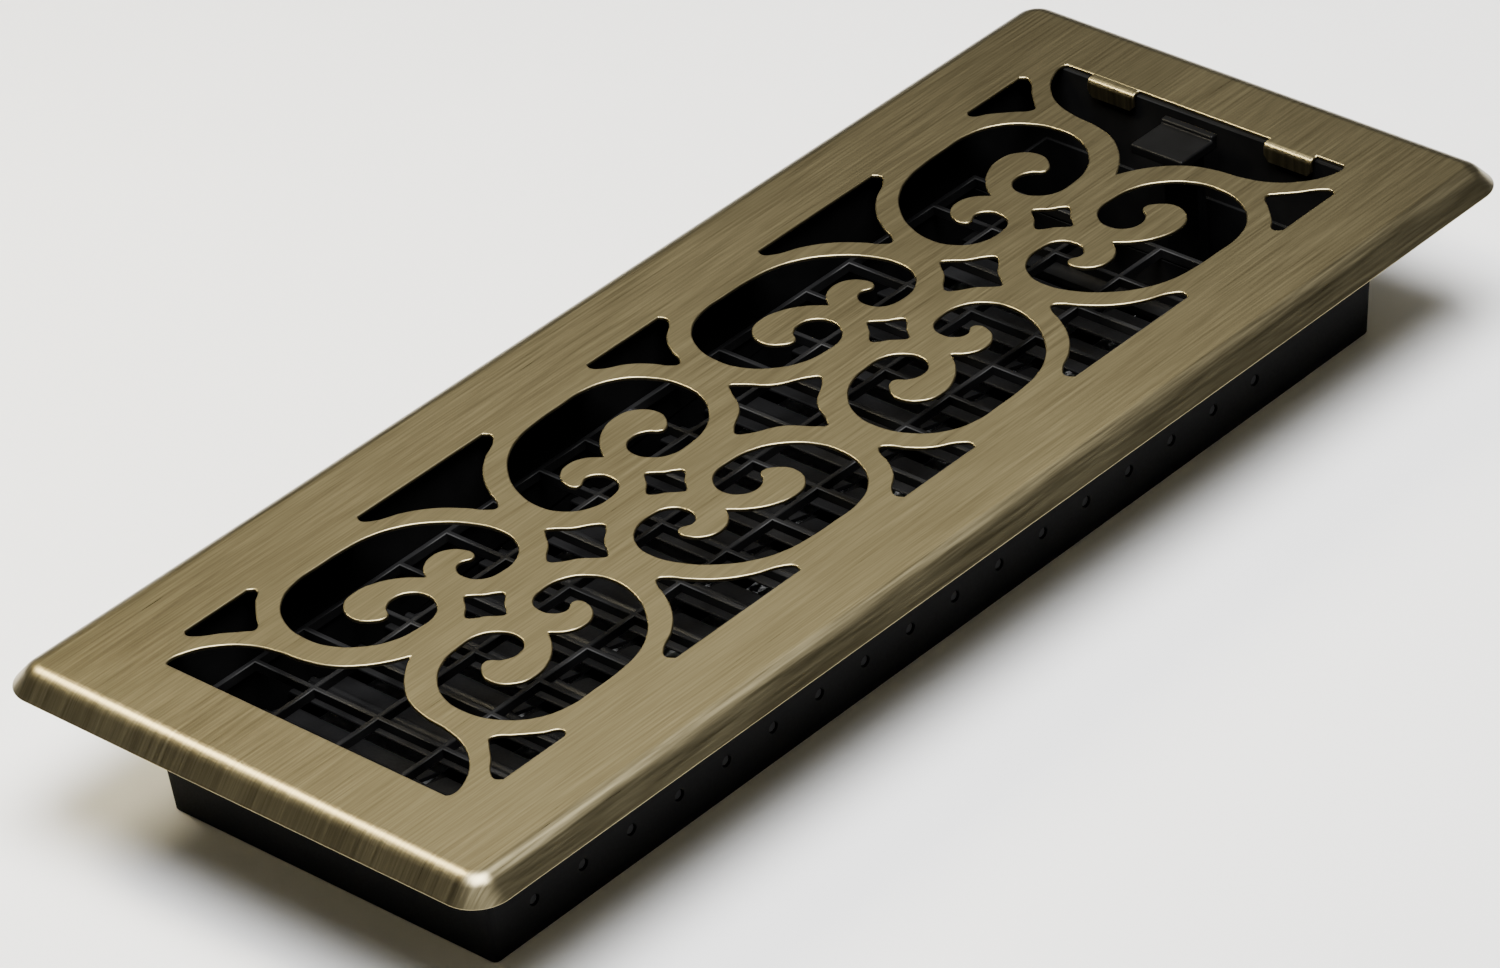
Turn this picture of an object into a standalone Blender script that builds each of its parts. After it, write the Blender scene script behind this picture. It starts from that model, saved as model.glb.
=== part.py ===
"""A pierced floor register: a stamped brass-finished faceplate over a louvred damper box.

Units are metres. The origin is the centre of the casing's bottom edge, +X runs along the
register toward its thumb lever, and +Z is up.
"""
import math

import bmesh
import bpy
from mathutils import Matrix, Vector

MM = 0.001
GAP = 0.3 * MM

# Faceplate: one stamped sheet with a sloped rim.
PLATE_LENGTH = 348 * MM
PLATE_WIDTH = 143.4 * MM
PLATE_TOP = 42 * MM
PLATE_CORNER = 9 * MM
SHEET = 0.9 * MM
RIM_DROP = 5.2 * MM
RIM_SLOPE = math.radians(48)
CREST_RADIUS = 6 * MM
CREST_STEPS = 4
CORNER_STEPS = 6

# Pierced pattern: mirror lines stand one pitch apart, and the outlines are in millimetres.
PATTERN_PITCH = 66.47
SMALL_STAR_OFFSET = 29.0
STRAIGHT = True

# Retaining tabs, bent down from the lever end's opening.
TAB_OFFSET = 26.5 * MM
TAB_WIDTH = 14 * MM
TAB_FACE = 149.5 * MM
TAB_BEND = 1.5 * MM
TAB_DROP = 4.8 * MM
TAB_CLIP = 1.3 * MM

# Casing: an open box whose walls lean outward toward the top.
CASE_HALF_LENGTH = 149.4 * MM
CASE_HALF_WIDTH = 48.2 * MM
CASE_TOP = PLATE_TOP - SHEET - GAP
DRAFT = 0.0603
THIN_WALL = 1.6 * MM
THICK_WALL = 2.4 * MM
CASE_CORNER = 1.5 * MM
LEDGE_TOP = 21.1 * MM
PARTITION = (121.0 * MM, 122.4 * MM)
BAY_FLOOR = 1.6 * MM

# Guard grid, dropped onto the casing's ledge.
GRID_TOP = 24 * MM
GRID_HEIGHT = 2.6 * MM
RIB = 1.2 * MM
RIB_ROWS = (-28.875 * MM, -9.625 * MM, 9.625 * MM, 28.875 * MM)
GRID_HALF_WIDTH = 47.5 * MM
GRID_ENDS = (-148.7 * MM, 122.2 * MM)

# Louvre bank: each blade turns about an axle along Y, under a rib of the grid.
BLADE_COUNT = 17
BLADE_PITCH = 15.2 * MM
FIRST_BLADE = -136.8 * MM
AXLE_HEIGHT = 9.5 * MM
AXLE_RADIUS = 1.2 * MM
AXLE_HALF_LENGTH = 48.2 * MM
BORE_CLEARANCE = 0.3 * MM
BLADE_CHORD = 15.8 * MM
BLADE_THICKNESS = 1.0 * MM
BLADE_HALF_LENGTH = 45.9 * MM
REST_TILT = math.radians(13.5)
SHUT_TILT = math.radians(6)
OPEN_TILT = math.radians(86)
SHELF_GAP = 0.6 * MM
SHELF_THICKNESS = 1.5 * MM

# Crank on each blade, and the slotted bar that drives all the cranks.
CRANK_RADIUS = 5 * MM
CRANK_PIN_RADIUS = 1.0 * MM
EAR_RADIUS = 1.6 * MM
EAR_SPAN = (1.5 * MM, 2.9 * MM)
BAR_THICKNESS = 1.6 * MM
BAR_SPAN = (2.1 * MM, 7.85 * MM)
BAR_ENDS = (-139.4 * MM, 146.0 * MM)
SLOT_HALF_WIDTH = 1.3 * MM
SLOT_RELIEF = 0.35 * MM
NOTCH_HALF_WIDTH = 1.35 * MM

# Thumb lever on the far end of the bar.
PAD_X = (133.0 * MM, 146.5 * MM)
PAD_HALF_WIDTH = 7.75 * MM
PAD_Z = (37.8 * MM, 40.4 * MM)
PAD_LIP = 2.2 * MM
PAD_LIP_TOP = 41.7 * MM
STEM_X = (141.3 * MM, 144.3 * MM)
STEM_HALF_WIDTH = 5 * MM

MID_TILT = (SHUT_TILT + OPEN_TILT) / 2
HALF_SWING = (OPEN_TILT - SHUT_TILT) / 2
BAR_PER_RADIAN = CRANK_RADIUS * math.sin(HALF_SWING) / HALF_SWING

BRASS = (0.30, 0.25, 0.155)
CASE_BLACK = (0.012, 0.012, 0.013)
LOUVRE_BLACK = (0.018, 0.018, 0.019)
LEVER_BLACK = (0.022, 0.022, 0.023)

# One scroll opening. x runs from a mirror line through a large triangle, y from the centre line.
SCROLL = [
    (5.95, 16.5), (7.7, 24.6), (12.2, 31.7), (17.8, 36.6), (24.0, 39.4), (31.0, 40.5),
    (38.5, 40.7), (46.0, 40.5), (53.2, 37.7), (58.4, 31.6), (60.4, 23.5), (59.2, 16.6),
    (55.3, 10.9), (50.0, 7.3), (43.5, 6.0), (38.0, 6.5), (34.7, 9.2), (33.4, 13.0),
    (34.9, 16.9), (38.5, 18.4), (41.9, 17.1), (43.6, 14.9), (44.7, 14.5), (47.2, 15.9),
    (49.2, 20.4), (46.4, 25.7), (41.8, 27.0), (36.4, 25.7), (31.6, 22.2), (28.6, 18.2, STRAIGHT),
    (25.9, 21.4), (22.0, 22.8), (18.2, 21.7), (15.8, 18.2), (15.9, 15.5), (17.0, 14.7),
    (20.4, 15.8), (22.7, 14.3), (23.5, 11.4), (22.0, 7.6), (17.5, 6.0), (11.4, 7.1),
    (7.3, 11.2),
]
# Quarters of the four-pointed stars, from the tip on +Y to the tip on +X.
LARGE_STAR = [(0, 14.4), (1.3, 13.1), (5.6, 6.5), (12.9, 1.6), (14.1, 0)]
MIDDLE_STAR = [(0, 9.0), (1.2, 8.0), (3.9, 4.6), (7.7, 1.6), (8.75, 0)]
SMALL_STAR = [(0, 5.95), (1.1, 5.1), (2.9, 2.9), (4.9, 1.3), (5.75, 0)]
# Halves of the side triangles, from the tip to the middle of the straight side.
LARGE_TRIANGLE = [
    (0, 23.9), (1.6, 25.2), (3.6, 29.2), (7.8, 35.3), (13.0, 39.7), (19.3, 43.1), (20.8, 45.1),
    (20.0, 47.1, STRAIGHT),
]
SMALL_TRIANGLE = [
    (0, 29.9), (1.5, 31.1), (3.2, 34.9), (6.4, 39.4), (11.4, 43.2), (12.6, 45.2),
    (12.0, 47.1, STRAIGHT),
]
CORNER_TRIANGLE = [
    (121.0, 47.1, STRAIGHT), (119.9, 45.4), (123.2, 42.3), (127.4, 37.8), (129.5, 35.3),
    (131.0, 34.8), (132.4, 36.0), (135.6, 39.5), (140.2, 43.9), (140.9, 45.6),
    (140.0, 47.1, STRAIGHT),
]
# Half of an end opening, from its tip on the centre line to the end of its straight side.
END_OPENING = [
    (118.7, 0, STRAIGHT), (122.9, 2.5), (127.6, 6.6), (131.3, 12.0), (133.1, 18.0), (133.9, 25.0),
    (136.0, 31.9), (140.0, 37.3), (145.2, 40.9), (150.4, 41.9), (151.2, 41.2, STRAIGHT),
]


def clear_scene():
    for old in list(bpy.data.objects):
        bpy.data.objects.remove(old)


def make_collection(name):
    collection = bpy.data.collections.new(name)
    bpy.context.scene.collection.children.link(collection)
    return collection


def make_material(name, colour, roughness, metallic):
    material = bpy.data.materials.new(name)
    material.use_nodes = True
    shader = material.node_tree.nodes["Principled BSDF"]
    shader.inputs["Base Color"].default_value = (*colour, 1)
    shader.inputs["Roughness"].default_value = roughness
    shader.inputs["Metallic"].default_value = metallic
    return material


def add_part(name, mesh, material, smooth=False):
    part = bpy.data.objects.new(name, mesh)
    mesh.materials.clear()
    mesh.materials.append(material)
    if smooth:
        mesh.shade_smooth()
        mesh.set_sharp_from_angle(angle=math.radians(30))
    PARTS.objects.link(part)
    return part


def add_cutter(name, mesh):
    cutter = bpy.data.objects.new(name, mesh)
    cutter.hide_render = True
    cutter.display_type = "WIRE"
    CUTTERS.objects.link(cutter)
    return cutter


def combine(part, tool, operation):
    """Cut the tool out of the part, or join it on."""
    modifier = part.modifiers.new(tool.name, "BOOLEAN")
    modifier.operation = operation
    modifier.object = tool


def evaluated_mesh(source):
    """The source's final shape, as a welded mesh of its own."""
    depsgraph = bpy.context.evaluated_depsgraph_get()
    mesh = bpy.data.meshes.new_from_object(source.evaluated_get(depsgraph))
    shape = bmesh.new()
    shape.from_mesh(mesh)
    bmesh.ops.remove_doubles(shape, verts=shape.verts, dist=0.001 * MM)
    bmesh.ops.recalc_face_normals(shape, faces=shape.faces)
    shape.to_mesh(mesh)
    shape.free()
    return mesh


def mesh_from(shape, name):
    mesh = bpy.data.meshes.new(name)
    shape.to_mesh(mesh)
    shape.free()
    return mesh


def add_spline(curve, outline, scale):
    """Add one closed outline: smooth at each point, apart from the straight ones."""
    spline = curve.splines.new("BEZIER")
    spline.bezier_points.add(len(outline) - 1)
    for point, (x, y, *straight) in zip(spline.bezier_points, outline):
        handle = "VECTOR" if straight else "AUTO"
        point.handle_left_type = handle
        point.handle_right_type = handle
        point.co = (x * scale, y * scale, 0)
    spline.use_cyclic_u = True


def prism(name, outlines, low, high, scale=1.0, resolution=2):
    """A mesh of flat outlines in XY, filled and extruded from z = low to z = high."""
    curve = bpy.data.curves.new(name, "CURVE")
    curve.dimensions = "2D"
    curve.fill_mode = "BOTH"
    curve.resolution_u = resolution
    curve.extrude = (high - low) / 2
    for outline in outlines:
        add_spline(curve, outline, scale)
    guide = bpy.data.objects.new(name, curve)
    CUTTERS.objects.link(guide)
    mesh = evaluated_mesh(guide)
    mesh.transform(Matrix.Translation((0, 0, (low + high) / 2)))
    bpy.data.objects.remove(guide)
    return mesh


def polygon(corners):
    return [(x, y, STRAIGHT) for x, y in corners]


def rectangle(x_low, x_high, y_low, y_high):
    return polygon([(x_low, y_low), (x_high, y_low), (x_high, y_high), (x_low, y_high)])


def standing_prism(name, outlines, y_low, y_high):
    """A prism whose outline lies in XZ and which runs along Y."""
    mesh = prism(name, outlines, -y_high, -y_low)
    mesh.transform(Matrix.Rotation(math.radians(90), 4, "X"))
    return mesh


def add_block(shape, low, high):
    """Add a plain block between two opposite corners."""
    low = Vector(low)
    high = Vector(high)
    size = high - low
    place = Matrix.Translation((low + high) / 2) @ Matrix.Diagonal((*size, 1))
    bmesh.ops.create_cube(shape, size=1, matrix=place)


def block(name, low, high):
    shape = bmesh.new()
    add_block(shape, low, high)
    return mesh_from(shape, name)


def add_rod(shape, centre, radius, length, sides):
    """Add a rod along Y."""
    place = Matrix.Translation(centre) @ Matrix.Rotation(math.radians(90), 4, "X")
    bmesh.ops.create_cone(shape, cap_ends=True, segments=sides, radius1=radius, radius2=radius,
                          depth=length, matrix=place)


def rod(name, centre, radius, length, sides):
    shape = bmesh.new()
    add_rod(shape, centre, radius, length, sides)
    return mesh_from(shape, name)


def drafted_block(name, x_low, x_high, half_width, z_low, z_high, corner=0.0):
    """A block whose outer walls lean with the casing's draft.

    The sizes are those at z = 0. An end at the partition stays upright.
    """
    shape = bmesh.new()
    bmesh.ops.create_cube(shape, size=2)
    for vert in shape.verts:
        z = z_high if vert.co.z > 0 else z_low
        x = x_high if vert.co.x > 0 else x_low
        if abs(x) > PARTITION[1]:
            x += math.copysign(DRAFT * z, x)
        y = math.copysign(half_width + DRAFT * z, vert.co.y)
        vert.co = (x, y, z)
    if corner:
        uprights = [edge for edge in shape.edges
                    if abs(edge.verts[0].co.z - edge.verts[1].co.z) > CASE_CORNER]
        bmesh.ops.bevel(shape, geom=uprights, offset=corner, segments=3, profile=0.5,
                        affect="EDGES")
    return mesh_from(shape, name)


def mirrored(outline, flip_x, flip_y, shift=0.0):
    return [(shift + flip_x * x, flip_y * y, *rest) for x, y, *rest in outline]


def whole_star(quarter, centre):
    """Mirror a quarter of a star into all four quadrants."""
    upper = quarter + mirrored(quarter, 1, -1)[-2::-1]
    lower = mirrored(upper, -1, 1)[-2:0:-1]
    return mirrored(upper + lower, 1, 1, centre)


def whole_triangle(half, centre, side):
    return mirrored(mirrored(half, -1, side)[:0:-1] + mirrored(half, 1, side), 1, 1, centre)


def whole_end(half, end):
    return mirrored(half[:0:-1] + mirrored(half, 1, -1), end, 1)


def pattern_outlines():
    """Every opening of the faceplate, in millimetres."""
    outlines = [whole_star(LARGE_STAR, 0)]
    for end in (-1, 1):
        line = end * PATTERN_PITCH
        outlines.append(whole_star(MIDDLE_STAR, line))
        outlines.append(whole_end(END_OPENING, end))
        for turn in (-1, 1):
            outlines.append(whole_star(SMALL_STAR, line + turn * SMALL_STAR_OFFSET))
            for side in (-1, 1):
                outlines.append(mirrored(SCROLL, turn, side, line))
    for side in (-1, 1):
        outlines.append(whole_triangle(SMALL_TRIANGLE, 0, side))
        for end in (-1, 1):
            outlines.append(whole_triangle(LARGE_TRIANGLE, end * PATTERN_PITCH, side))
            outlines.append(mirrored(CORNER_TRIANGLE, end, side))
    return outlines


def rim_profile():
    """Inset and drop of each line of the rim, from the outer edge up to the flat top."""
    crest_drop = CREST_RADIUS * (1 - math.cos(RIM_SLOPE))
    crest_run = CREST_RADIUS * math.sin(RIM_SLOPE)
    slope_run = (RIM_DROP - crest_drop) / math.tan(RIM_SLOPE)
    profile = [(0.0, RIM_DROP)]
    for step in range(CREST_STEPS + 1):
        angle = RIM_SLOPE * (1 - step / CREST_STEPS)
        inset = slope_run + crest_run - CREST_RADIUS * math.sin(angle)
        profile.append((inset, CREST_RADIUS * (1 - math.cos(angle))))
    return profile


def rounded_loop(shape, half_x, half_y, radius, z):
    """Add a closed ring of edges around a rounded rectangle."""
    verts = []
    for quarter, (side_x, side_y) in enumerate([(1, 1), (-1, 1), (-1, -1), (1, -1)]):
        for step in range(CORNER_STEPS + 1):
            angle = math.radians(90) * (quarter + step / CORNER_STEPS)
            x = side_x * (half_x - radius) + radius * math.cos(angle)
            y = side_y * (half_y - radius) + radius * math.sin(angle)
            verts.append(shape.verts.new((x, y, z)))
    return [shape.edges.new(pair) for pair in zip(verts, verts[1:] + verts[:1])]


def plate_surface():
    """The stamped sheet's upper surface, rim included."""
    shape = bmesh.new()
    rings = []
    for inset, drop in rim_profile():
        half_x = PLATE_LENGTH / 2 - inset
        half_y = PLATE_WIDTH / 2 - inset
        rings.append(rounded_loop(shape, half_x, half_y, PLATE_CORNER - inset, PLATE_TOP - drop))
    for outer, inner in zip(rings, rings[1:]):
        bmesh.ops.bridge_loops(shape, edges=outer + inner)
    bmesh.ops.contextual_create(shape, geom=rings[-1])
    bmesh.ops.recalc_face_normals(shape, faces=shape.faces)
    return mesh_from(shape, "faceplate")


def tab_outline():
    """Side view of a retaining tab: along the sheet, round the bend and down."""
    top = PLATE_TOP
    under = PLATE_TOP - SHEET
    root = TAB_FACE + TAB_BEND + 3 * MM
    turn_x = TAB_FACE - SHEET + TAB_BEND
    turn_z = top - TAB_BEND
    outline = [(root, under), (root, top)]
    for degrees in range(90, 181, 15):
        angle = math.radians(degrees)
        outline.append((turn_x + TAB_BEND * math.cos(angle), turn_z + TAB_BEND * math.sin(angle)))
    outline += [(TAB_FACE - SHEET, top - TAB_DROP), (TAB_FACE, top - TAB_DROP)]
    inner = TAB_BEND - SHEET
    for degrees in range(180, 89, -30):
        angle = math.radians(degrees)
        outline.append((turn_x + inner * math.cos(angle), turn_z + inner * math.sin(angle)))
    return polygon(outline)


def tab_mesh(middle):
    """A tab with its two lower corners clipped."""
    mesh = standing_prism("tab", [tab_outline()], middle - TAB_WIDTH / 2,
                          middle + TAB_WIDTH / 2)
    shape = bmesh.new()
    shape.from_mesh(mesh)
    foot = PLATE_TOP - TAB_DROP + GAP
    corners = [edge for edge in shape.edges
               if all(vert.co.z < foot for vert in edge.verts)
               and abs(edge.verts[0].co.y - edge.verts[1].co.y) < GAP
               and len({tuple(round(n, 3) for n in face.normal) for face in edge.link_faces}) > 1]
    bmesh.ops.bevel(shape, geom=corners, offset=TAB_CLIP, segments=1, affect="EDGES")
    shape.to_mesh(mesh)
    shape.free()
    return mesh


def make_faceplate():
    brass = make_material("antique_brass", BRASS, 0.38, 1.0)
    plate = add_part("faceplate", plate_surface(), brass, smooth=True)
    sheet = plate.modifiers.new("sheet", "SOLIDIFY")
    sheet.thickness = SHEET
    sheet.offset = -1
    openings = prism("pierced_pattern", pattern_outlines(), PLATE_TOP - 5 * MM,
                     PLATE_TOP + 5 * MM, scale=MM)
    combine(plate, add_cutter("pierced_pattern", openings), "DIFFERENCE")
    for side in (-1, 1):
        tab = add_cutter("tab_right" if side < 0 else "tab_left", tab_mesh(side * TAB_OFFSET))
        combine(plate, tab, "UNION")


def pivot_bores():
    """Holes for all the blades' axles, through both side walls."""
    shape = bmesh.new()
    for x in blade_positions():
        add_rod(shape, (x, 0, AXLE_HEIGHT), AXLE_RADIUS + BORE_CLEARANCE,
                3 * CASE_HALF_WIDTH, 12)
    return mesh_from(shape, "pivot_bores")


def blade_positions():
    return [FIRST_BLADE + index * BLADE_PITCH for index in range(BLADE_COUNT)]


def make_case():
    plastic = make_material("case_plastic", CASE_BLACK, 0.5, 0.0)
    outer = drafted_block("damper_box", -CASE_HALF_LENGTH, CASE_HALF_LENGTH, CASE_HALF_WIDTH,
                          0, CASE_TOP, corner=CASE_CORNER)
    case = add_part("damper_box", outer, plastic)
    over = CASE_TOP + 5 * MM
    thin_length = CASE_HALF_LENGTH - THIN_WALL
    thick_length = CASE_HALF_LENGTH - THICK_WALL
    thick_width = CASE_HALF_WIDTH - THICK_WALL
    into_upper = LEDGE_TOP + 2 * MM
    cuts = {
        "upper_room": drafted_block("upper_room", -thin_length, thin_length,
                                    CASE_HALF_WIDTH - THIN_WALL, LEDGE_TOP, over),
        "louvre_well": drafted_block("louvre_well", -thick_length, PARTITION[0], thick_width,
                                     -5 * MM, into_upper),
        "lever_bay": drafted_block("lever_bay", PARTITION[1], thick_length, thick_width,
                                   BAY_FLOOR, into_upper),
        "bar_slot": block("bar_slot", (PARTITION[0] - 2 * MM, -SLOT_HALF_WIDTH, -1 * MM),
                          (PARTITION[1] + 2 * MM, SLOT_HALF_WIDTH, BAR_SPAN[1] + GAP)),
    }
    for name, mesh in cuts.items():
        combine(case, add_cutter(name, mesh), "DIFFERENCE")
    reach = BLADE_CHORD / 2 + SHELF_GAP
    shelf_low = BAR_SPAN[1] + 2 * GAP
    shelf_high = shelf_low + SHELF_THICKNESS
    half_width = CASE_HALF_WIDTH - THIN_WALL
    first, last = blade_positions()[0], blade_positions()[-1]
    shelves = {
        "near_shelf": block("near_shelf", (-CASE_HALF_LENGTH + THIN_WALL, -half_width, shelf_low),
                            (first - reach, half_width, shelf_high)),
        "far_shelf": block("far_shelf", (last + reach, -half_width, shelf_low),
                           (PARTITION[0] + 0.5 * MM, half_width, shelf_high)),
    }
    for name, mesh in shelves.items():
        combine(case, add_cutter(name, mesh), "UNION")
    combine(case, add_cutter("pivot_bores", pivot_bores()), "DIFFERENCE")


def make_grid():
    """An open grid with a rib over each blade's axle."""
    plastic = make_material("grid_plastic", LOUVRE_BLACK, 0.42, 0.0)
    columns = [GRID_ENDS[0] + RIB / 2, *blade_positions(), GRID_ENDS[1] - RIB / 2]
    rows = [-GRID_HALF_WIDTH + RIB / 2, *RIB_ROWS, GRID_HALF_WIDTH - RIB / 2]
    outlines = [rectangle(*GRID_ENDS, -GRID_HALF_WIDTH, GRID_HALF_WIDTH)]
    for x_low, x_high in zip(columns, columns[1:]):
        for y_low, y_high in zip(rows, rows[1:]):
            outlines.append(rectangle(x_low + RIB / 2, x_high - RIB / 2,
                                      y_low + RIB / 2, y_high - RIB / 2))
    mesh = prism("guard_grid", outlines, GRID_TOP - GRID_HEIGHT, GRID_TOP, resolution=1)
    add_part("guard_grid", mesh, plastic)


def blade_outline():
    """Section of a blade: a flat plate with blunt tapered edges."""
    half = BLADE_CHORD / 2
    thick = BLADE_THICKNESS / 2
    taper = half - 0.8 * MM
    return polygon([(-half, thick / 2), (-taper, thick), (taper, thick), (half, thick / 2),
                    (half, -thick / 2), (taper, -thick), (-taper, -thick), (-half, -thick / 2)])


def ear_outline(pin_x, pin_z):
    """Side view of a crank ear, round at the axle and at the pin."""
    lean = math.atan2(pin_z, pin_x)
    outline = []
    for centre_x, centre_z, start in ((pin_x, pin_z, -90), (0, 0, 90)):
        for degrees in range(start, start + 181, 45):
            angle = lean + math.radians(degrees)
            outline.append((centre_x + EAR_RADIUS * math.cos(angle),
                            centre_z + EAR_RADIUS * math.sin(angle)))
    return polygon(outline)


def blade_mesh():
    """One blade lying flat, with its axle on the origin along Y."""
    pin_x = CRANK_RADIUS * math.sin(MID_TILT)
    pin_z = -CRANK_RADIUS * math.cos(MID_TILT)
    pin_span = (-BAR_THICKNESS / 2 - 0.4 * MM, EAR_SPAN[1] - 0.4 * MM)
    notch = block("notch", (AXLE_RADIUS, -NOTCH_HALF_WIDTH, -BLADE_CHORD),
                  (BLADE_CHORD, NOTCH_HALF_WIDTH, BLADE_CHORD))
    tools = [
        (notch, "DIFFERENCE"),
        (rod("axle", (0, 0, 0), AXLE_RADIUS, 2 * AXLE_HALF_LENGTH, 12), "UNION"),
        (standing_prism("ear", [ear_outline(pin_x, pin_z)], *EAR_SPAN), "UNION"),
        (rod("crank_pin", (pin_x, sum(pin_span) / 2, pin_z), CRANK_PIN_RADIUS,
             pin_span[1] - pin_span[0], 10), "UNION"),
    ]
    plate = standing_prism("louvre_blade", [blade_outline()], -BLADE_HALF_LENGTH,
                           BLADE_HALF_LENGTH)
    pattern = add_cutter("blade_pattern", plate)
    for mesh, operation in tools:
        combine(pattern, add_cutter(mesh.name, mesh), operation)
    return evaluated_mesh(pattern)


def make_blades():
    plastic = make_material("louvre_plastic", LOUVRE_BLACK, 0.36, 0.0)
    mesh = blade_mesh()
    for index, x in enumerate(blade_positions(), start=1):
        blade = add_part(f"louvre_blade_{index:02d}", mesh, plastic, smooth=True)
        blade.location = (x, 0, AXLE_HEIGHT)
        blade.rotation_euler.y = REST_TILT


def bar_outlines():
    """Side view of the link bar, with an upright slot for each crank pin."""
    slot_shift = BAR_PER_RADIAN * (MID_TILT - REST_TILT)
    lowest = AXLE_HEIGHT - CRANK_RADIUS - CRANK_PIN_RADIUS - SLOT_RELIEF
    highest = (AXLE_HEIGHT - CRANK_RADIUS * math.cos(HALF_SWING) + CRANK_PIN_RADIUS
               + SLOT_RELIEF)
    outlines = [rectangle(*BAR_ENDS, *BAR_SPAN)]
    for x in blade_positions():
        middle = x + slot_shift
        outlines.append(rectangle(middle - SLOT_HALF_WIDTH, middle + SLOT_HALF_WIDTH,
                                  lowest, highest))
    return outlines


def make_link_bar():
    plastic = make_material("bar_plastic", LEVER_BLACK, 0.45, 0.0)
    mesh = standing_prism("link_bar", bar_outlines(), -BAR_THICKNESS / 2, BAR_THICKNESS / 2)
    add_part("link_bar", mesh, plastic)


def make_thumb_lever():
    """A thumb pad on a stem whose foot straddles the link bar."""
    plastic = make_material("lever_plastic", LEVER_BLACK, 0.4, 0.0)
    pad = block("thumb_lever", (PAD_X[0], -PAD_HALF_WIDTH, PAD_Z[0]),
                (PAD_X[1], PAD_HALF_WIDTH, PAD_Z[1]))
    lever = add_part("thumb_lever", pad, plastic, smooth=True)
    lip = block("lever_lip", (PAD_X[1] - PAD_LIP, -PAD_HALF_WIDTH, PAD_Z[0] + 0.5 * MM),
                (PAD_X[1], PAD_HALF_WIDTH, PAD_LIP_TOP))
    stem = block("lever_stem", (STEM_X[0], -STEM_HALF_WIDTH, BAR_SPAN[0] + 2 * GAP),
                 (STEM_X[1], STEM_HALF_WIDTH, PAD_Z[0] + 1 * MM))
    fork_half_width = BAR_THICKNESS / 2 + GAP
    fork = block("lever_fork", (STEM_X[0] - 1 * MM, -fork_half_width, 0),
                 (STEM_X[1] + 1 * MM, fork_half_width, BAR_SPAN[1] + GAP))
    combine(lever, add_cutter("lever_lip", lip), "UNION")
    combine(lever, add_cutter("lever_stem", stem), "UNION")
    combine(lever, add_cutter("lever_fork", fork), "DIFFERENCE")


clear_scene()
PARTS = make_collection("floor_register")
CUTTERS = make_collection("cutters")
make_faceplate()
make_case()
make_grid()
make_blades()
make_link_bar()
make_thumb_lever()
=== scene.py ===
"""The looks of a pierced floor register: brushed antique brass over a black louvred damper box.

Units are metres, in the CAD frame: +X runs toward the thumb lever, +Z is up. The outlines of the
pierced pattern are in millimetres.
"""
import math

import bmesh
import bpy
from mathutils import Matrix, Vector


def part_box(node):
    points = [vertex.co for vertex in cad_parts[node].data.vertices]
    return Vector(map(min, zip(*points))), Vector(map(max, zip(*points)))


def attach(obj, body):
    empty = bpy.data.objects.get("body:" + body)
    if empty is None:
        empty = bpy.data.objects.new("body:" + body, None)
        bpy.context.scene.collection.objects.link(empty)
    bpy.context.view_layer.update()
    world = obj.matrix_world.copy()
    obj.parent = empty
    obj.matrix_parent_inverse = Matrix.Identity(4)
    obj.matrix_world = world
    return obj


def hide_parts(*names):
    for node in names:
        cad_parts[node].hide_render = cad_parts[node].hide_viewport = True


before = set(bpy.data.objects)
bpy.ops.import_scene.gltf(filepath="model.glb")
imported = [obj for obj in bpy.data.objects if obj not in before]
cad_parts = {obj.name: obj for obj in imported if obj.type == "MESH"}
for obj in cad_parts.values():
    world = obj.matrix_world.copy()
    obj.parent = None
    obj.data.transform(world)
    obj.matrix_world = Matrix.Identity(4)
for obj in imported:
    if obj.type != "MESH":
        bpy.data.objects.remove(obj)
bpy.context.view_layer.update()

MM = 0.001
STRAIGHT = True

PLATE_HALF_LENGTH, PLATE_HALF_WIDTH, PLATE_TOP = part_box("faceplate")[1]
PLATE_CORNER = 9 * MM
SHEET = 0.9 * MM
RIM_DROP = 5.2 * MM
RIM_SLOPE = math.radians(48)
CREST_RADIUS = 6 * MM
CREST_STEPS = 12
CORNER_STEPS = 16
CUTTER_REACH = 5 * MM
OUTLINE_STEPS = 10
EDGE_RADIUS = 0.24 * MM
SHARP_ANGLE = math.radians(35)
ROUNDED_ANGLE = math.radians(50)
LOW_EDGE_WEIGHT = 0.3
WELD_DISTANCE = 0.001 * MM
FLAT_ANGLE = math.radians(0.6)
CASING_CLEARANCE = 0.02 * MM
CASING_TOP_BAND = 0.05 * MM

# Heights between which edges stay crisp: the axle bores, and the stem under the thumb pad.
BORE_BAND = (7.9 * MM, 11.2 * MM)
STEM_BAND = (0, 37.7 * MM)

OPENING_EDGE = 151.2 * MM
TAB_OFFSET = 26.5 * MM
TAB_WIDTH = 14 * MM
TAB_FACE = 149.5 * MM
TAB_BEND = 1.5 * MM
TAB_DROP = 4.8 * MM
TAB_CLIP = 1.3 * MM
TAB_ROOT = 2 * MM

# The pattern, in millimetres: its mirror lines' spacing, and the small stars' distance from them.
PATTERN_PITCH = 66.47
SMALL_STAR_OFFSET = 29.0
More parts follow.
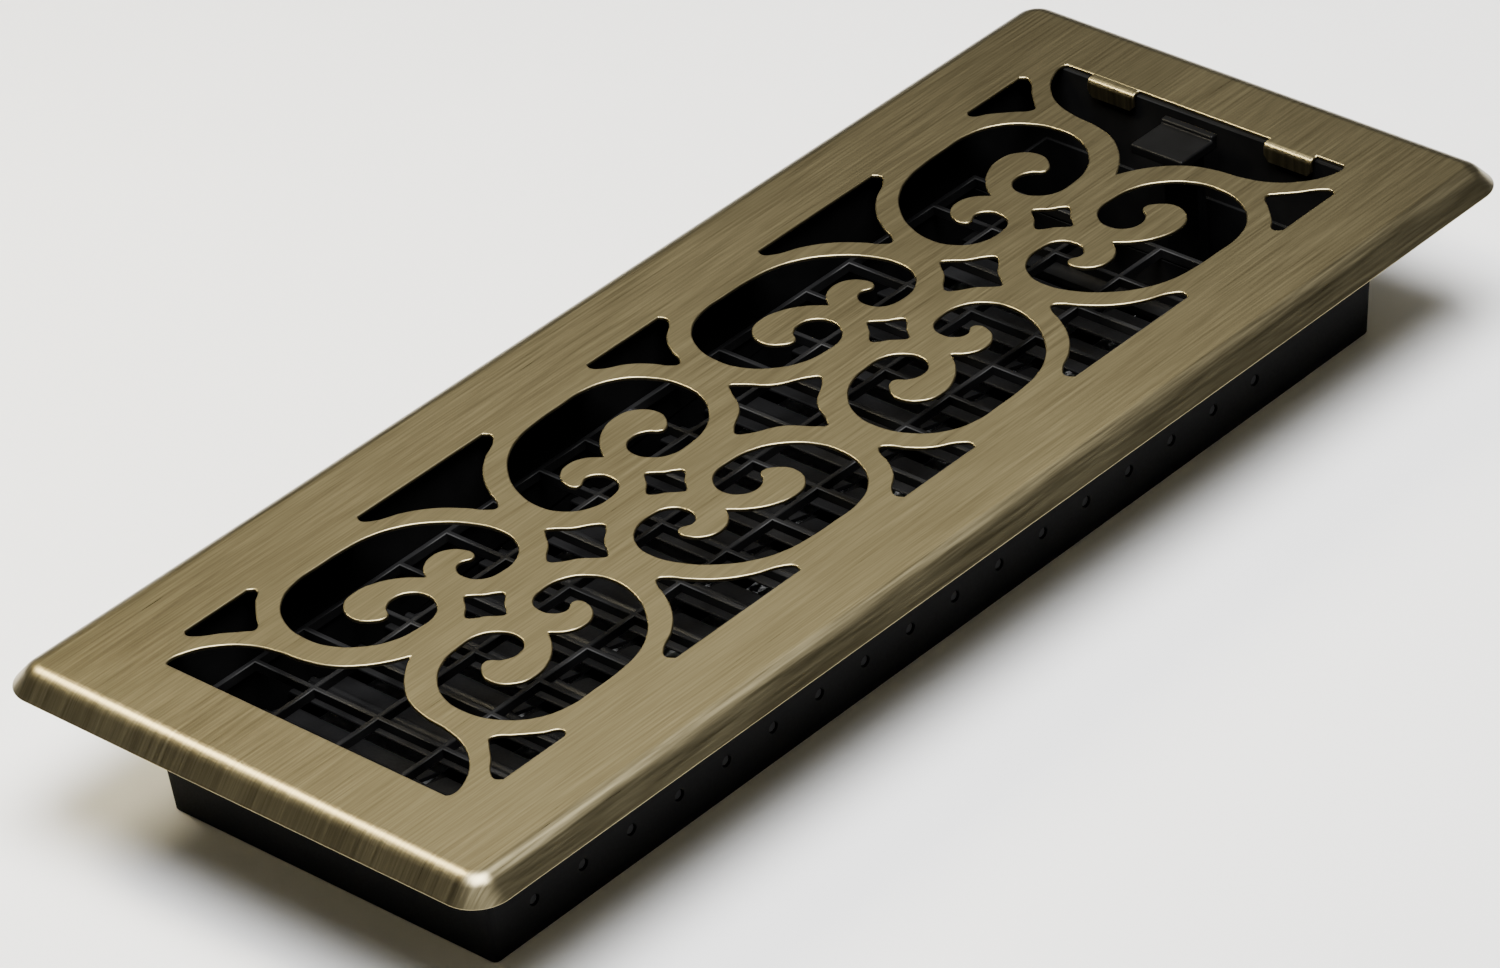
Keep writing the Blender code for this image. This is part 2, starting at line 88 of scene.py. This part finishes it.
# One scroll opening. x runs from a mirror line through a large triangle, y from the centre line.
SCROLL = [
    (5.95, 16.5), (7.7, 24.6), (12.2, 31.7), (17.8, 36.6), (24.0, 39.4), (31.0, 40.5),
    (38.5, 40.7), (46.0, 40.5), (53.2, 37.7), (58.4, 31.6), (60.4, 23.5), (59.2, 16.6),
    (55.3, 10.9), (50.0, 7.3), (43.5, 6.0), (38.0, 6.5), (34.7, 9.2), (33.4, 13.0),
    (34.9, 16.9), (38.5, 18.4), (41.9, 17.1), (43.6, 14.9), (44.7, 14.5), (47.2, 15.9),
    (49.2, 20.4), (46.4, 25.7), (41.8, 27.0), (36.4, 25.7), (31.6, 22.2), (28.6, 18.2, STRAIGHT),
    (25.9, 21.4), (22.0, 22.8), (18.2, 21.7), (15.8, 18.2), (15.9, 15.5), (17.0, 14.7),
    (20.4, 15.8), (22.7, 14.3), (23.5, 11.4), (22.0, 7.6), (17.5, 6.0), (11.4, 7.1),
    (7.3, 11.2),
]
# Quarters of the four-pointed stars, from the tip on +Y to the tip on +X.
LARGE_STAR = [(0, 14.4), (1.3, 13.1), (5.6, 6.5), (12.9, 1.6), (14.1, 0)]
MIDDLE_STAR = [(0, 9.0), (1.2, 8.0), (3.9, 4.6), (7.7, 1.6), (8.75, 0)]
SMALL_STAR = [(0, 5.95), (1.1, 5.1), (2.9, 2.9), (4.9, 1.3), (5.75, 0)]
# Halves of the side triangles, from the tip to the middle of the straight side.
LARGE_TRIANGLE = [
    (0, 23.9), (1.6, 25.2), (3.6, 29.2), (7.8, 35.3), (13.0, 39.7), (19.3, 43.1), (20.8, 45.1),
    (20.0, 47.1, STRAIGHT),
]
SMALL_TRIANGLE = [
    (0, 29.9), (1.5, 31.1), (3.2, 34.9), (6.4, 39.4), (11.4, 43.2), (12.6, 45.2),
    (12.0, 47.1, STRAIGHT),
]
CORNER_TRIANGLE = [
    (121.0, 47.1, STRAIGHT), (119.9, 45.4), (123.2, 42.3), (127.4, 37.8), (129.5, 35.3),
    (131.0, 34.8), (132.4, 36.0), (135.6, 39.5), (140.2, 43.9), (140.9, 45.6),
    (140.0, 47.1, STRAIGHT),
]
# Half of an end opening, from its tip on the centre line to the end of its straight side.
END_OPENING = [
    (118.7, 0, STRAIGHT), (122.9, 2.5), (127.6, 6.6), (131.3, 12.0), (133.1, 18.0), (133.9, 25.0),
    (136.0, 31.9), (140.0, 37.3), (145.2, 40.9), (150.4, 41.9), (151.2, 41.2, STRAIGHT),
]

# Camera: where it stands from the middle of the plate's top, and which way it looks.
CAMERA_OFFSET = Vector((-1.0065, -0.9818, 0.9017))
CAMERA_FORWARD = Vector((0.5953, 0.5873, -0.5483))
CAMERA_ROLL = math.radians(-5.54)
CAMERA_LENS = 180.5
CAMERA_SENSOR = 36.0
FLOOR_HALF_SIZE = 6
BACKDROP_STRENGTH = 0.06

WARM = (1.0, 0.94, 0.78)
GOLDEN = (1.0, 0.88, 0.6)

# Height of the brushing and of the mould texture.
GRAIN_DEPTH = 0.03 * MM


# ---------------------------------------------------------------- materials

class Nodes:
    """A material's node tree, with short ways to add and join its nodes."""

    def __init__(self, name):
        self.material = bpy.data.materials.new(name)
        self.material.use_nodes = True
        self.tree = self.material.node_tree
        self.shader = self.tree.nodes["Principled BSDF"]

    def link(self, source, target):
        self.tree.links.new(source, target)

    def noise(self, scale, detail, roughness=0.5):
        """Noise over the object's own coordinates, with a scale for each axis."""
        place = self.tree.nodes.new("ShaderNodeTexCoord")
        stretch = self.tree.nodes.new("ShaderNodeMapping")
        stretch.inputs["Scale"].default_value = scale
        noise = self.tree.nodes.new("ShaderNodeTexNoise")
        noise.inputs["Scale"].default_value = 1.0
        noise.inputs["Detail"].default_value = detail
        noise.inputs["Roughness"].default_value = roughness
        self.link(place.outputs["Object"], stretch.inputs["Vector"])
        self.link(stretch.outputs["Vector"], noise.inputs["Vector"])
        return noise.outputs["Fac"]

    def remap(self, value, from_range, to_range):
        node = self.tree.nodes.new("ShaderNodeMapRange")
        node.inputs["From Min"].default_value = from_range[0]
        node.inputs["From Max"].default_value = from_range[1]
        node.inputs["To Min"].default_value = to_range[0]
        node.inputs["To Max"].default_value = to_range[1]
        self.link(value, node.inputs["Value"])
        return node.outputs["Result"]

    def blend(self, first, second, share):
        """A weighted mean of two values."""
        node = self.tree.nodes.new("ShaderNodeMix")
        node.inputs["Factor"].default_value = share
        self.link(first, node.inputs["A"])
        self.link(second, node.inputs["B"])
        return node.outputs["Result"]

    def ramp(self, value, stops):
        node = self.tree.nodes.new("ShaderNodeValToRGB")
        ramp = node.color_ramp
        while len(ramp.elements) < len(stops):
            ramp.elements.new(0.5)
        for element, (position, colour) in zip(ramp.elements, stops):
            element.position = position
            element.color = (*colour, 1)
        self.link(value, node.inputs["Fac"])
        return node.outputs["Color"]

    def bump(self, height, strength, distance):
        node = self.tree.nodes.new("ShaderNodeBump")
        node.inputs["Strength"].default_value = strength
        node.inputs["Distance"].default_value = distance
        self.link(height, node.inputs["Height"])
        self.link(node.outputs["Normal"], self.shader.inputs["Normal"])


def brushed_brass(name, dark, light, roughness, relief):
    """Brass brushed along X, with a patina that varies slowly over the sheet."""
    nodes = Nodes(name)
    fine = nodes.noise((42, 1700, 42), 3, 0.65)
    coarse = nodes.noise((16, 460, 16), 2)
    patina = nodes.noise((10, 22, 10), 3)
    grain = nodes.blend(fine, coarse, 0.15)
    tone = nodes.blend(grain, patina, 0.25)
    colour = nodes.ramp(tone, [(0.25, dark), (0.75, light)])
    nodes.link(colour, nodes.shader.inputs["Base Color"])
    nodes.link(nodes.remap(grain, (0.2, 0.8), roughness), nodes.shader.inputs["Roughness"])
    nodes.shader.inputs["Metallic"].default_value = 1.0
    nodes.bump(grain, relief, GRAIN_DEPTH)
    return nodes.material


def moulded_plastic(name, colour, roughness, texture, shine):
    """Black plastic with a fine mould texture and slight marks of handling."""
    nodes = Nodes(name)
    pebble = nodes.noise((texture, texture, texture), 2)
    handling = nodes.noise((70, 70, 70), 4, 0.6)
    dark = tuple(0.8 * channel for channel in colour)
    light = tuple(1.4 * channel for channel in colour)
    nodes.link(nodes.ramp(handling, [(0.35, dark), (0.7, light)]),
               nodes.shader.inputs["Base Color"])
    rough = nodes.remap(nodes.blend(pebble, handling, 0.5), (0.3, 0.7), roughness)
    nodes.link(rough, nodes.shader.inputs["Roughness"])
    nodes.shader.inputs["Specular IOR Level"].default_value = shine
    nodes.bump(pebble, 0.25, GRAIN_DEPTH)
    return nodes.material


def floor_paint():
    nodes = Nodes("pale_floor")
    mottle = nodes.noise((6, 6, 6), 3)
    nodes.link(nodes.ramp(mottle, [(0.3, (0.86, 0.86, 0.86)), (0.7, (0.9, 0.9, 0.9))]),
               nodes.shader.inputs["Base Color"])
    nodes.shader.inputs["Roughness"].default_value = 0.7
    return nodes.material


# ---------------------------------------------------------------- pieces

def add_object(name, mesh, materials):
    piece = bpy.data.objects.new(name, mesh)
    mesh.materials.clear()
    for material in materials:
        mesh.materials.append(material)
    bpy.context.scene.collection.objects.link(piece)
    return piece


def final_mesh(source):
    """The source's shape with its modifiers applied."""
    depsgraph = bpy.context.evaluated_depsgraph_get()
    return bpy.data.meshes.new_from_object(source.evaluated_get(depsgraph))


def drop_object(unwanted):
    bpy.data.objects.remove(unwanted)


def clean_mesh(mesh):
    """Weld the doubled points of a Boolean and drop its needless edges."""
    shape = bmesh.new()
    shape.from_mesh(mesh)
    bmesh.ops.remove_doubles(shape, verts=shape.verts, dist=WELD_DISTANCE)
    bmesh.ops.dissolve_limit(shape, angle_limit=FLAT_ANGLE, verts=shape.verts,
                             edges=shape.edges)
    shape.to_mesh(mesh)
    shape.free()
    return mesh


def mesh_from(shape, name):
    mesh = bpy.data.meshes.new(name)
    shape.to_mesh(mesh)
    shape.free()
    return mesh


def add_spline(curve, outline, scale):
    """Add one closed outline: smooth at each point, apart from the straight ones."""
    spline = curve.splines.new("BEZIER")
    spline.bezier_points.add(len(outline) - 1)
    for point, (x, y, *straight) in zip(spline.bezier_points, outline):
        handle = "VECTOR" if straight else "AUTO"
        point.handle_left_type = handle
        point.handle_right_type = handle
        point.co = (x * scale, y * scale, 0)
    spline.use_cyclic_u = True


def prism(name, outlines, low, high, scale, steps):
    """A closed mesh of flat outlines in XY, extruded from z = low to z = high."""
    curve = bpy.data.curves.new(name, "CURVE")
    curve.dimensions = "2D"
    curve.fill_mode = "BOTH"
    curve.resolution_u = steps
    curve.extrude = (high - low) / 2
    for outline in outlines:
        add_spline(curve, outline, scale)
    guide = add_object(name, curve, [])
    mesh = final_mesh(guide)
    drop_object(guide)
    shape = bmesh.new()
    shape.from_mesh(mesh)
    bmesh.ops.remove_doubles(shape, verts=shape.verts, dist=WELD_DISTANCE)
    bmesh.ops.recalc_face_normals(shape, faces=shape.faces)
    shape.transform(Matrix.Translation((0, 0, (low + high) / 2)))
    shape.to_mesh(mesh)
    shape.free()
    return mesh


def mirrored(outline, flip_x, flip_y, shift=0.0):
    return [(shift + flip_x * x, flip_y * y, *rest) for x, y, *rest in outline]


def whole_star(quarter, centre):
    """Mirror a quarter of a star into all four quadrants."""
    upper = quarter + mirrored(quarter, 1, -1)[-2::-1]
    lower = mirrored(upper, -1, 1)[-2:0:-1]
    return mirrored(upper + lower, 1, 1, centre)


def whole_triangle(half, centre, side):
    return mirrored(mirrored(half, -1, side)[:0:-1] + mirrored(half, 1, side), 1, 1, centre)


def whole_end(half, end):
    return mirrored(half[:0:-1] + mirrored(half, 1, -1), end, 1)


def pattern_outlines():
    """Every opening of the faceplate, in millimetres."""
    outlines = [whole_star(LARGE_STAR, 0)]
    for end in (-1, 1):
        line = end * PATTERN_PITCH
        outlines.append(whole_star(MIDDLE_STAR, line))
        outlines.append(whole_end(END_OPENING, end))
        for turn in (-1, 1):
            outlines.append(whole_star(SMALL_STAR, line + turn * SMALL_STAR_OFFSET))
            for side in (-1, 1):
                outlines.append(mirrored(SCROLL, turn, side, line))
    for side in (-1, 1):
        outlines.append(whole_triangle(SMALL_TRIANGLE, 0, side))
        for end in (-1, 1):
            outlines.append(whole_triangle(LARGE_TRIANGLE, end * PATTERN_PITCH, side))
            outlines.append(mirrored(CORNER_TRIANGLE, end, side))
    return outlines


def rim_profile():
    """Inset and drop of each line of the rim, from the outer edge up to the flat top."""
    crest_drop = CREST_RADIUS * (1 - math.cos(RIM_SLOPE))
    crest_run = CREST_RADIUS * math.sin(RIM_SLOPE)
    slope_run = (RIM_DROP - crest_drop) / math.tan(RIM_SLOPE)
    profile = [(0.0, RIM_DROP)]
    for step in range(CREST_STEPS + 1):
        angle = RIM_SLOPE * (1 - step / CREST_STEPS)
        inset = slope_run + crest_run - CREST_RADIUS * math.sin(angle)
        profile.append((inset, CREST_RADIUS * (1 - math.cos(angle))))
    return profile


def rounded_loop(shape, half_x, half_y, radius, z):
    """Add a closed ring of edges around a rounded rectangle."""
    verts = []
    for quarter, (side_x, side_y) in enumerate([(1, 1), (-1, 1), (-1, -1), (1, -1)]):
        for step in range(CORNER_STEPS + 1):
            angle = math.radians(90) * (quarter + step / CORNER_STEPS)
            x = side_x * (half_x - radius) + radius * math.cos(angle)
            y = side_y * (half_y - radius) + radius * math.sin(angle)
            verts.append(shape.verts.new((x, y, z)))
    return [shape.edges.new(pair) for pair in zip(verts, verts[1:] + verts[:1])]


def plate_surface():
    """The stamped sheet's upper surface, rim included."""
    shape = bmesh.new()
    rings = []
    for inset, drop in rim_profile():
        rings.append(rounded_loop(shape, PLATE_HALF_LENGTH - inset, PLATE_HALF_WIDTH - inset,
                                  PLATE_CORNER - inset, PLATE_TOP - drop))
    for outer, inner in zip(rings, rings[1:]):
        bmesh.ops.bridge_loops(shape, edges=outer + inner)
    bmesh.ops.contextual_create(shape, geom=rings[-1])
    bmesh.ops.recalc_face_normals(shape, faces=shape.faces)
    return mesh_from(shape, "faceplate_surface")


def tab_outline():
    """Side view of a retaining tab: a tongue inside the sheet, round the bend and down."""
    root = OPENING_EDGE + TAB_ROOT
    turn_x = TAB_FACE - SHEET + TAB_BEND
    turn_z = PLATE_TOP - TAB_BEND
    outline = [(OPENING_EDGE, PLATE_TOP - 0.7 * SHEET), (root, PLATE_TOP - 0.7 * SHEET),
               (root, PLATE_TOP - 0.3 * SHEET), (OPENING_EDGE, PLATE_TOP - 0.3 * SHEET),
               (OPENING_EDGE, PLATE_TOP)]
    for degrees in range(90, 181, 9):
        angle = math.radians(degrees)
        outline.append((turn_x + TAB_BEND * math.cos(angle), turn_z + TAB_BEND * math.sin(angle)))
    outline += [(TAB_FACE - SHEET, PLATE_TOP - TAB_DROP), (TAB_FACE, PLATE_TOP - TAB_DROP)]
    inner = TAB_BEND - SHEET
    for degrees in range(180, 89, -15):
        angle = math.radians(degrees)
        outline.append((turn_x + inner * math.cos(angle), turn_z + inner * math.sin(angle)))
    outline.append((OPENING_EDGE, PLATE_TOP - SHEET))
    return [(x, z, STRAIGHT) for x, z in outline]


def tab_mesh(middle):
    """A tab with its two lower corners clipped."""
    mesh = prism("tab", [tab_outline()], -middle - TAB_WIDTH / 2, -middle + TAB_WIDTH / 2, 1, 1)
    mesh.transform(Matrix.Rotation(math.radians(90), 4, "X"))
    shape = bmesh.new()
    shape.from_mesh(mesh)
    foot = PLATE_TOP - TAB_DROP + EDGE_RADIUS
    corners = [edge for edge in shape.edges
               if all(vert.co.z < foot for vert in edge.verts)
               and abs(edge.verts[0].co.y - edge.verts[1].co.y) < EDGE_RADIUS
               and edge.calc_face_angle(0) > 1]
    bmesh.ops.bevel(shape, geom=corners, offset=TAB_CLIP, segments=1, affect="EDGES")
    shape.to_mesh(mesh)
    shape.free()
    return mesh


def soften(piece, radius, segments, edge_material=-1, lowest=-1, crisp=(0, 0)):
    """Round the sharp outward edges, less below lowest, and shade flat faces flat.

    Edges that reach between the two heights in crisp are left as they are.
    """
    shape = bmesh.new()
    shape.from_mesh(piece.data)
    weight = shape.edges.layers.float.new("bevel_weight_edge")
    for edge in shape.edges:
        kept = any(crisp[0] < vert.co.z < crisp[1] for vert in edge.verts)
        if edge.is_convex and edge.calc_face_angle(0) > ROUNDED_ANGLE and not kept:
            low = max(vert.co.z for vert in edge.verts) < lowest
            edge[weight] = LOW_EDGE_WEIGHT if low else 1
    shape.to_mesh(piece.data)
    shape.free()
    bevel = piece.modifiers.new("rounded_edges", "BEVEL")
    bevel.width = radius
    bevel.segments = segments
    bevel.limit_method = "WEIGHT"
    bevel.use_clamp_overlap = False
    bevel.material = edge_material
    piece.data.shade_smooth()
    piece.data.set_sharp_from_angle(angle=SHARP_ANGLE)
    even = piece.modifiers.new("flat_faces", "WEIGHTED_NORMAL")
    even.keep_sharp = True


def make_faceplate():
    """The pierced sheet, rebuilt with smooth outlines and rolled edges."""
    brass = brushed_brass("antique_brass", (0.175, 0.145, 0.077), (0.385, 0.335, 0.195),
                          (0.25, 0.4), 0.3)
    # Second brass for the bevelled edges: lighter, for rubbed edges and also as a painted
    # highlight along every rolled edge.
    rubbed_and_highlit = brushed_brass("worn_edge_and_highlight", (0.26, 0.215, 0.11), (0.4, 0.34, 0.19), (0.3, 0.4), 0.1)
    base = add_object("sheet", plate_surface(), [brass])
    thickness = base.modifiers.new("sheet", "SOLIDIFY")
    thickness.thickness = SHEET
    thickness.offset = -1
    cutter = prism("openings", pattern_outlines(), PLATE_TOP - CUTTER_REACH,
                   PLATE_TOP + CUTTER_REACH, MM, OUTLINE_STEPS)
    openings = add_object("openings", cutter, [])
    tools = [(openings, "DIFFERENCE")]
    for side in (-1, 1):
        tools.append((add_object("tab", tab_mesh(side * TAB_OFFSET), [brass]), "UNION"))
    for tool, operation in tools:
        cut = base.modifiers.new(tool.name, "BOOLEAN")
        cut.operation = operation
        cut.object = tool
    plate = add_object("pierced_faceplate", clean_mesh(final_mesh(base)), [brass, rubbed_and_highlit])
    for done in [base] + [tool for tool, _ in tools]:
        drop_object(done)
    # The bevel faces take the second material: the lighter brass of rubbed edges, which also
    # paints a highlight on them.
    soften(plate, EDGE_RADIUS, 2, edge_material=1, lowest=PLATE_TOP - 0.9 * RIM_DROP)
    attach(plate, "frame")
    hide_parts("faceplate")


def moulded_copy(name, node, body, material, radius, segments=2, crisp=(0, 0)):
    """A CAD node's shape with the rounded edges of a moulding."""
    mesh = clean_mesh(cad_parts[node].data.copy())
    piece = add_object(name, mesh, [material])
    soften(piece, radius, segments, crisp=crisp)
    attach(piece, body)
    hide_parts(node)
    return piece


def close_gap(casing):
    """Raise the casing's top edge to the sheet's underside, so that no light shows between."""
    top = max(vertex.co.z for vertex in casing.data.vertices)
    for vertex in casing.data.vertices:
        if vertex.co.z > top - CASING_TOP_BAND:
            vertex.co.z = PLATE_TOP - SHEET - CASING_CLEARANCE


def make_mouldings():
    case = moulded_plastic("case_plastic", (0.003, 0.003, 0.0031), (0.5, 0.65), 1800, 0.08)
    louvre = moulded_plastic("louvre_plastic", (0.006, 0.006, 0.0063), (0.42, 0.58), 1400, 0.2)
    lever = moulded_plastic("lever_plastic", (0.003, 0.003, 0.0031), (0.3, 0.4), 1600, 0.1)
    casing = moulded_copy("casing", "damper_box", "frame", case, 0.3 * MM,
                          crisp=BORE_BAND)
    close_gap(casing)
    moulded_copy("grid", "guard_grid", "frame", louvre, 0.22 * MM)
    for node in sorted(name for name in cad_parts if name.startswith("louvre_blade")):
        number = node[-2:]
        moulded_copy(f"blade_{number}", node, f"blade_{number}", louvre,
                     0.08 * MM)
    moulded_copy("bar", "link_bar", "slider", lever, 0.15 * MM)
    moulded_copy("lever", "thumb_lever", "slider", lever, 0.5 * MM, 3,
                 crisp=STEM_BAND)


# ---------------------------------------------------------------- stage

def make_camera():
    camera_data = bpy.data.cameras.new("camera")
    camera_data.sensor_width = CAMERA_SENSOR
    camera_data.lens = CAMERA_LENS
    camera_data.clip_start = 0.05
    camera = bpy.data.objects.new("camera", camera_data)
    bpy.context.scene.collection.objects.link(camera)
    turn = CAMERA_FORWARD.to_track_quat("-Z", "Y").to_matrix().to_4x4()
    roll = Matrix.Rotation(CAMERA_ROLL, 4, "Z")
    place = Matrix.Translation(Vector((0, 0, PLATE_TOP)) + CAMERA_OFFSET)
    camera.matrix_world = place @ turn @ roll
    bpy.context.scene.camera = camera


def make_floor():
    shape = bmesh.new()
    bmesh.ops.create_grid(shape, x_segments=1, y_segments=1, size=FLOOR_HALF_SIZE)
    floor = add_object("floor", mesh_from(shape, "floor"), [floor_paint()])


def add_softbox(name, place, target, size, power, colour=(1, 1, 1)):
    light = bpy.data.lights.new(name, "AREA")
    light.shape = "RECTANGLE"
    light.size, light.size_y = size
    light.energy = power
    light.color = colour
    lamp = bpy.data.objects.new(name, light)
    lamp.location = place
    lamp.rotation_euler = (Vector(target) - Vector(place)).to_track_quat("-Z", "Y").to_euler()
    lamp.visible_camera = False
    bpy.context.scene.collection.objects.link(lamp)


def make_lights():
    world = bpy.data.worlds.new("studio")
    world.use_nodes = True
    backdrop = world.node_tree.nodes["Background"]
    backdrop.inputs["Color"].default_value = (1, 1, 1, 1)
    backdrop.inputs["Strength"].default_value = BACKDROP_STRENGTH
    bpy.context.scene.world = world
    add_softbox("overhead", (-0.15, -0.2, 1.5), (0, 0, 0), (1.0, 1.0), 80)
    add_softbox("back", (0.27, 0.24, 0.42), (0, -0.03, 0.04), (0.34, 0.18), 0.24, WARM)
    add_softbox("far_back", (1.3, 1.3, 1.25), (0, 0, 0), (0.9, 0.9), 0.6, WARM)
    add_softbox("strip", (-0.114, 0.4, 0.54), (-0.172, 0, 0.042), (0.12, 0.26), 4, GOLDEN)


make_camera()
make_floor()
make_lights()
make_faceplate()
make_mouldings()
